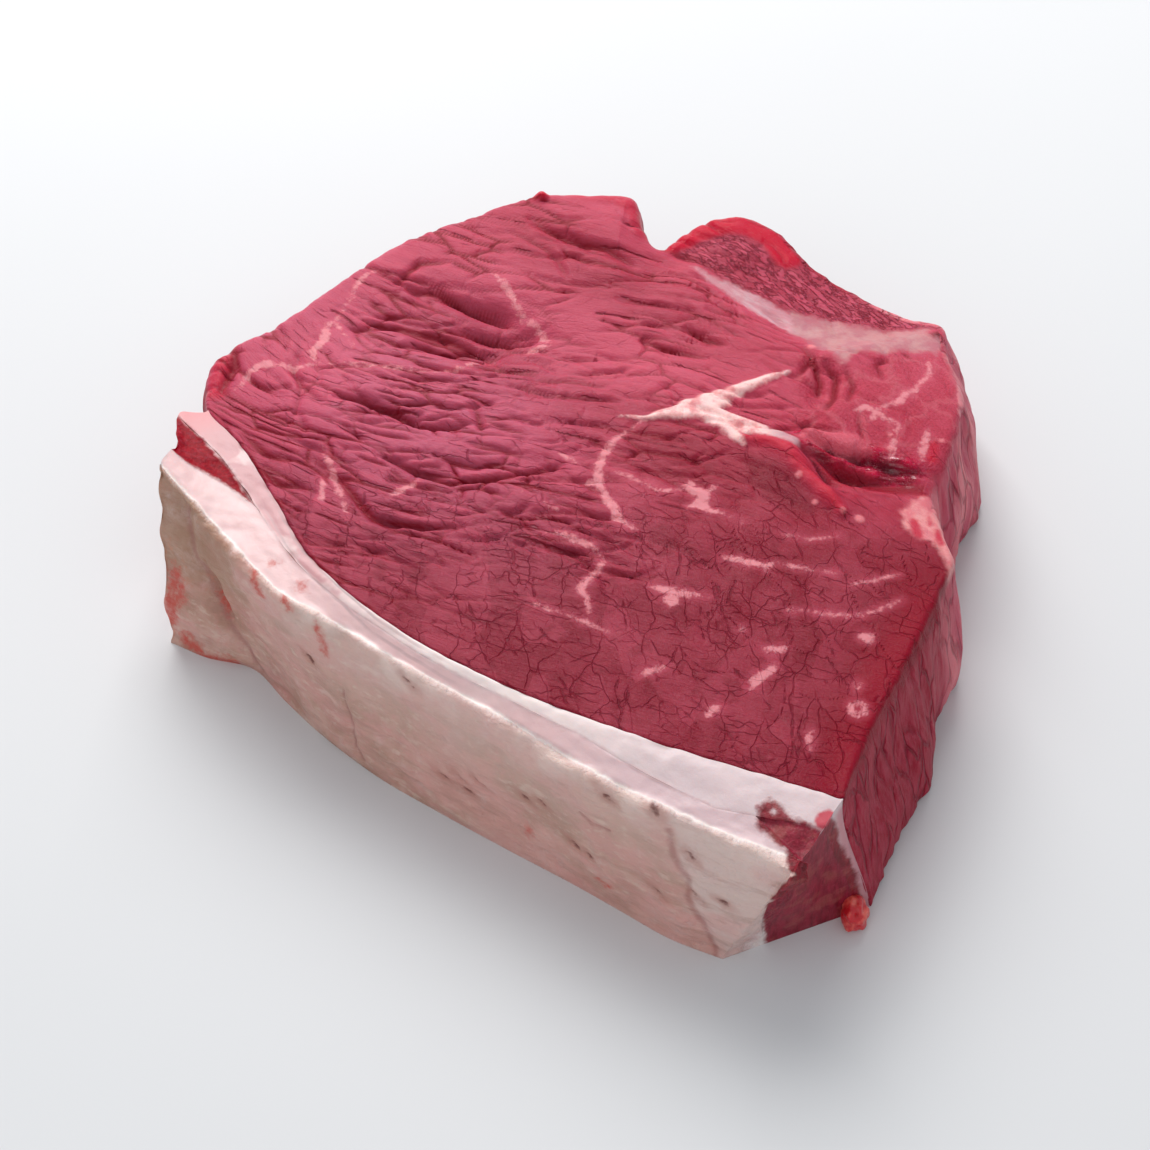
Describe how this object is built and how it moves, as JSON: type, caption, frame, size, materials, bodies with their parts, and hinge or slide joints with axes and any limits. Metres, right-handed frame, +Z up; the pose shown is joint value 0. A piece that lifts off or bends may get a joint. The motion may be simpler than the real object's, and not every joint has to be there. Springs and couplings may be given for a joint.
{
  "type": "raw beef steak",
  "caption": "Thick-cut raw beef rump steak, D-shaped, with a wrinkled red cut face, a thick pale fat cap along one side and wedges of cap muscle at its ends.",
  "frame": {"origin": "middle of the bounding box in plan, on the resting face", "axes": "+X along the fat edge, +Y from the fat cap towards the far muscle, +Z up out of the cut face"},
  "size_m": [0.2068, 0.183, 0.0449],
  "materials": {
    "red_meat": "raw lean beef, moist, wrinkled across the grain, with thin pale marbling",
    "pale_seam": "thin moist seam fat and silverskin, pale pinkish white with grey lines",
    "bright_muscle": "moist bright red muscle",
    "dark_muscle": "dark red muscle under a thin dry membrane",
    "outer_fat": "waxy beef fat, cream white on the cut, tan to pink outside with small blood spots"
  },
  "bodies": {
    "root": {"lean": "red_meat", "seam_fat": "pale_seam", "cap_muscle_left": "bright_muscle", "cap_muscle_right": "dark_muscle", "fat_cap": "outer_fat"}
  },
  "joints": []
}
